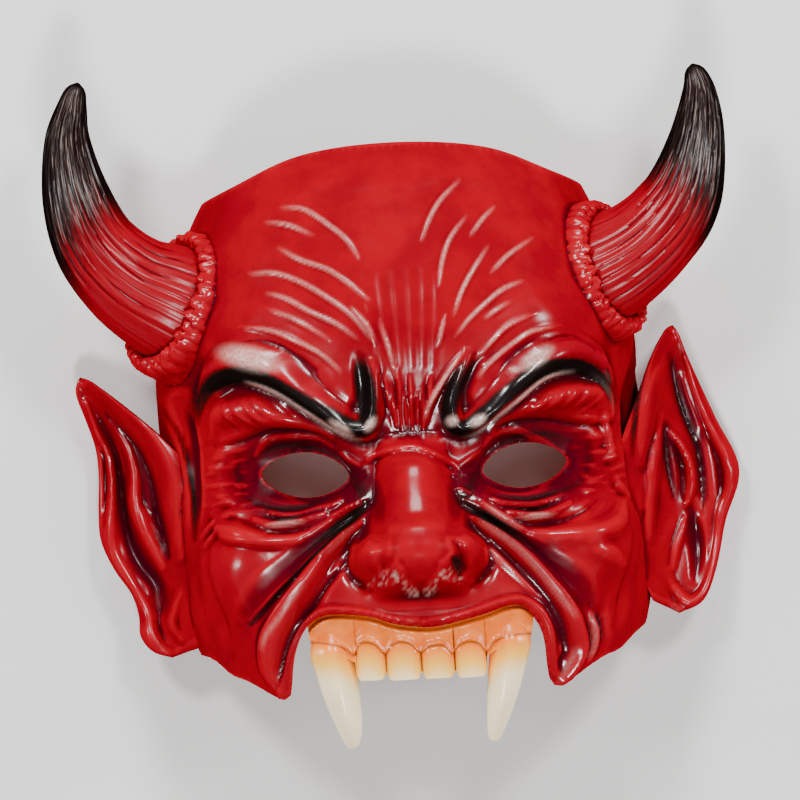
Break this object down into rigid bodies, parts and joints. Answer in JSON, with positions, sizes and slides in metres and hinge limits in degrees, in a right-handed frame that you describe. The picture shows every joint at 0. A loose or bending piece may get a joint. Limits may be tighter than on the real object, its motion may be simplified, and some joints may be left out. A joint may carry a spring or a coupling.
{
  "type": "demon half mask",
  "caption": "Hollow red rubber devil half mask with curved horns, pointed ears and a moulded strip of upper teeth with long fangs",
  "frame": {"origin": "on the surface where the mask lies face up, under the middle of its box", "axes": "+Z forward out of the face, +Y towards the horns, +X to the viewer's right"},
  "size_m": [0.2108, 0.2092, 0.11],
  "materials": {
    "red_rubber": "glossy painted latex, with black sprayed brows, hollows and horn tips",
    "tooth_rubber": "satin, orange gum fading to cream teeth"
  },
  "bodies": {
    "root": {"latex_mask": "red_rubber", "upper_teeth": "tooth_rubber"}
  },
  "joints": []
}
